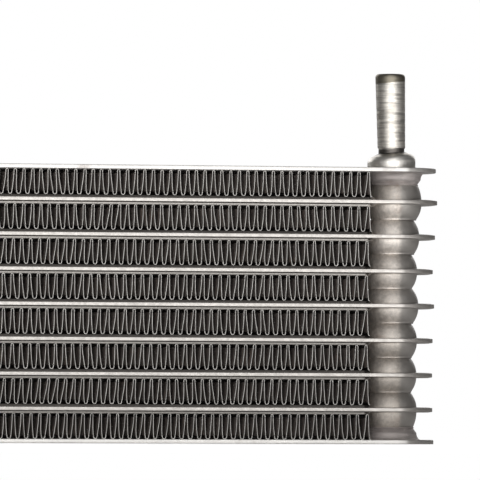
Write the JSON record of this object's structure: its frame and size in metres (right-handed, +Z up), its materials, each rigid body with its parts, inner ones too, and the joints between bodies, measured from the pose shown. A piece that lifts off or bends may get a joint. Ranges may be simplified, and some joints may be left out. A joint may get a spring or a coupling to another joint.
{
  "type": "transmission oil cooler",
  "caption": "Stacked-plate aluminium oil cooler with pressed cup headers, folded air fins between the tube plates and a straight hose nipple over each header.",
  "frame": {"origin": "middle of the underside of the bottom side plate", "axes": "+X along the tube plates, from the left header to the right header; +Z up, out of the hose nipples; -Y towards the viewer of the picture, the air-side face"},
  "size_m": [0.188, 0.0304, 0.1294],
  "materials": {
    "pressed_aluminium": "satin, brazed",
    "side_plate_aluminium": "satin, brazed",
    "fin_aluminium": "satin foil",
    "turbulator_aluminium": "satin foil",
    "fitting_aluminium": "turned, satin"
  },
  "bodies": {
    "root": {"air_fin_1": "fin_aluminium", "air_fin_2": "fin_aluminium", "air_fin_3": "fin_aluminium", "air_fin_4": "fin_aluminium", "air_fin_5": "fin_aluminium", "air_fin_6": "fin_aluminium", "air_fin_7": "fin_aluminium", "air_fin_8": "fin_aluminium", "bottom_side_plate": "side_plate_aluminium", "left_bottom_cup": "pressed_aluminium", "left_collar": "fitting_aluminium", "left_hose_nipple": "fitting_aluminium", "left_top_cup": "pressed_aluminium", "right_bottom_cup": "pressed_aluminium", "right_collar": "fitting_aluminium", "right_hose_nipple": "fitting_aluminium", "right_top_cup": "pressed_aluminium", "top_side_plate": "side_plate_aluminium", "tube_1_lower_sheet": "pressed_aluminium", "tube_1_turbulator": "turbulator_aluminium", "tube_1_upper_sheet": "pressed_aluminium", "tube_2_lower_sheet": "pressed_aluminium", "tube_2_turbulator": "turbulator_aluminium", "tube_2_upper_sheet": "pressed_aluminium", "tube_3_lower_sheet": "pressed_aluminium", "tube_3_turbulator": "turbulator_aluminium", "tube_3_upper_sheet": "pressed_aluminium", "tube_4_lower_sheet": "pressed_aluminium", "tube_4_turbulator": "turbulator_aluminium", "tube_4_upper_sheet": "pressed_aluminium", "tube_5_lower_sheet": "pressed_aluminium", "tube_5_turbulator": "turbulator_aluminium", "tube_5_upper_sheet": "pressed_aluminium", "tube_6_lower_sheet": "pressed_aluminium", "tube_6_turbulator": "turbulator_aluminium", "tube_6_upper_sheet": "pressed_aluminium", "tube_7_lower_sheet": "pressed_aluminium", "tube_7_turbulator": "turbulator_aluminium", "tube_7_upper_sheet": "pressed_aluminium"}
  },
  "joints": []
}
